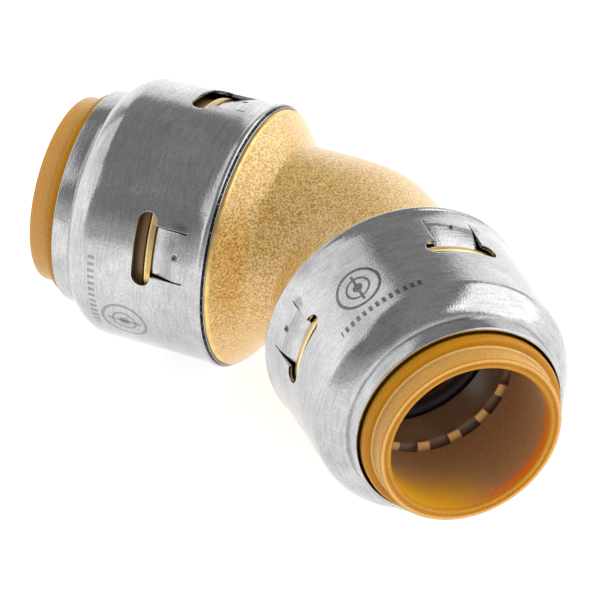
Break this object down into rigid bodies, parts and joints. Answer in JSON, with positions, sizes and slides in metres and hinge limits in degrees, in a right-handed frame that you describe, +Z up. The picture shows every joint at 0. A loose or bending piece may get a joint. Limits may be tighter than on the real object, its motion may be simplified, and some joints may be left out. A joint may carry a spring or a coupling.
{
  "type": "push-to-connect pipe elbow",
  "caption": "45 degree push-to-connect pipe elbow: brass body with a stainless sleeve, toothed grab ring, seal and sliding release collar at each end.",
  "frame": {"origin": "centre of the bounding box's bottom face, the fitting lying on its side on the floor", "axes": "+Z up, square to the plane of the bend; +X from the left end to the right end, along the longest extent; +Y towards the outside of the bend"},
  "size_m": [0.0886, 0.0426, 0.037],
  "materials": {
    "brass": "fine blasted, matt",
    "right_stainless": "satin, drawn sheet",
    "right_collar_plastic": "amber, moulded, slightly translucent",
    "right_tooth_steel": "bright stamped spring steel",
    "right_rubber": "black",
    "right_guard_plastic": "dark brown, moulded",
    "right_keeper_plastic": "dark brown, moulded",
    "left_stainless": "satin, drawn sheet",
    "left_collar_plastic": "amber, moulded, slightly translucent",
    "left_tooth_steel": "bright stamped spring steel",
    "left_rubber": "black",
    "left_guard_plastic": "dark brown, moulded",
    "left_keeper_plastic": "dark brown, moulded"
  },
  "bodies": {
    "fitting": {"body": "brass", "right_sleeve": "right_stainless", "right_seal": "right_rubber", "right_seal_guard": "right_guard_plastic", "right_keeper": "right_keeper_plastic", "left_sleeve": "left_stainless", "left_seal": "left_rubber", "left_seal_guard": "left_guard_plastic", "left_keeper": "left_keeper_plastic"},
    "right_grip": {"right_grab_ring": "right_tooth_steel"},
    "left_grip": {"left_grab_ring": "left_tooth_steel"},
    "right_release": {"right_collar": "right_collar_plastic"},
    "left_release": {"left_collar": "left_collar_plastic"}
  },
  "joints": [
    {"name": "right_grip_spin", "type": "hinge", "parent": "fitting", "child": "right_grip", "pos_m": [0.02596, -0.00304, 0.0185], "axis": [0.9239, -0.3827, 0], "continuous": true},
    {"name": "right_collar_push", "type": "slide", "parent": "right_grip", "child": "right_release", "axis": [-0.9239, 0.3827, 0], "range_m": [0, 0.001], "stiffness_N_per_m": 2000},
    {"name": "left_grip_spin", "type": "hinge", "parent": "fitting", "child": "left_grip", "pos_m": [-0.02596, -0.00304, 0.0185], "axis": [-0.9239, -0.3827, 0], "continuous": true},
    {"name": "left_collar_push", "type": "slide", "parent": "left_grip", "child": "left_release", "axis": [0.9239, 0.3827, 0], "range_m": [0, 0.001], "stiffness_N_per_m": 2000}
  ]
}
